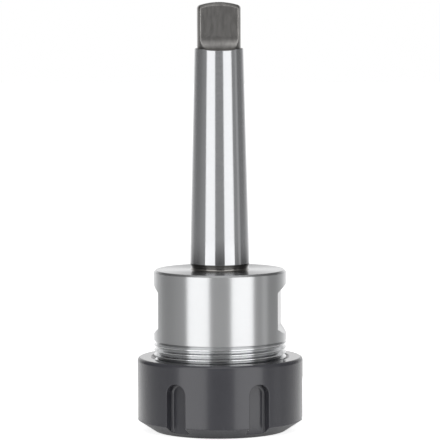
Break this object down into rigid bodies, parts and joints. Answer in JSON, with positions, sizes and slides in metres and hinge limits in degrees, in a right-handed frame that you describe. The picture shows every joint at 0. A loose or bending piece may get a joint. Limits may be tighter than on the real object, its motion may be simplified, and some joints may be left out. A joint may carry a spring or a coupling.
{
  "type": "collet chuck holder",
  "caption": "Collet chuck on a tanged taper shank: a slotted nut screws up the steel body and presses a slit collet into its taper to grip a round tool shank.",
  "frame": {"origin": "centre of the nut's front face, on which the chuck stands", "axes": "+Z along the chuck's axis, from the nut to the tang; +X square to one wrench flat of the body; +Y along that flat"},
  "size_m": [0.05, 0.05, 0.1292],
  "materials": {
    "ground_steel": "ground and polished",
    "blackened_steel": "black oxide, satin",
    "spring_steel": "fine ground"
  },
  "bodies": {
    "chuck_body": {"chuck_head": "ground_steel", "shank": "ground_steel"},
    "collet": {"collet": "spring_steel"},
    "clamping_nut": {"clamping_nut": "blackened_steel"}
  },
  "joints": [
    {"name": "collet_slide", "type": "slide", "parent": "chuck_body", "child": "collet", "axis": [0, 0, -1], "range_m": [0, 0.0105]},
    {"name": "nut_turn", "type": "hinge", "parent": "collet", "child": "clamping_nut", "pos_m": [0, 0, 0.011], "axis": [0, 0, -1], "range_deg": [0, 2520]}
  ],
  "couplings": [
    {"joint": "collet_slide", "follows": "nut_turn", "m_per_rad": 0.00023873}
  ]
}
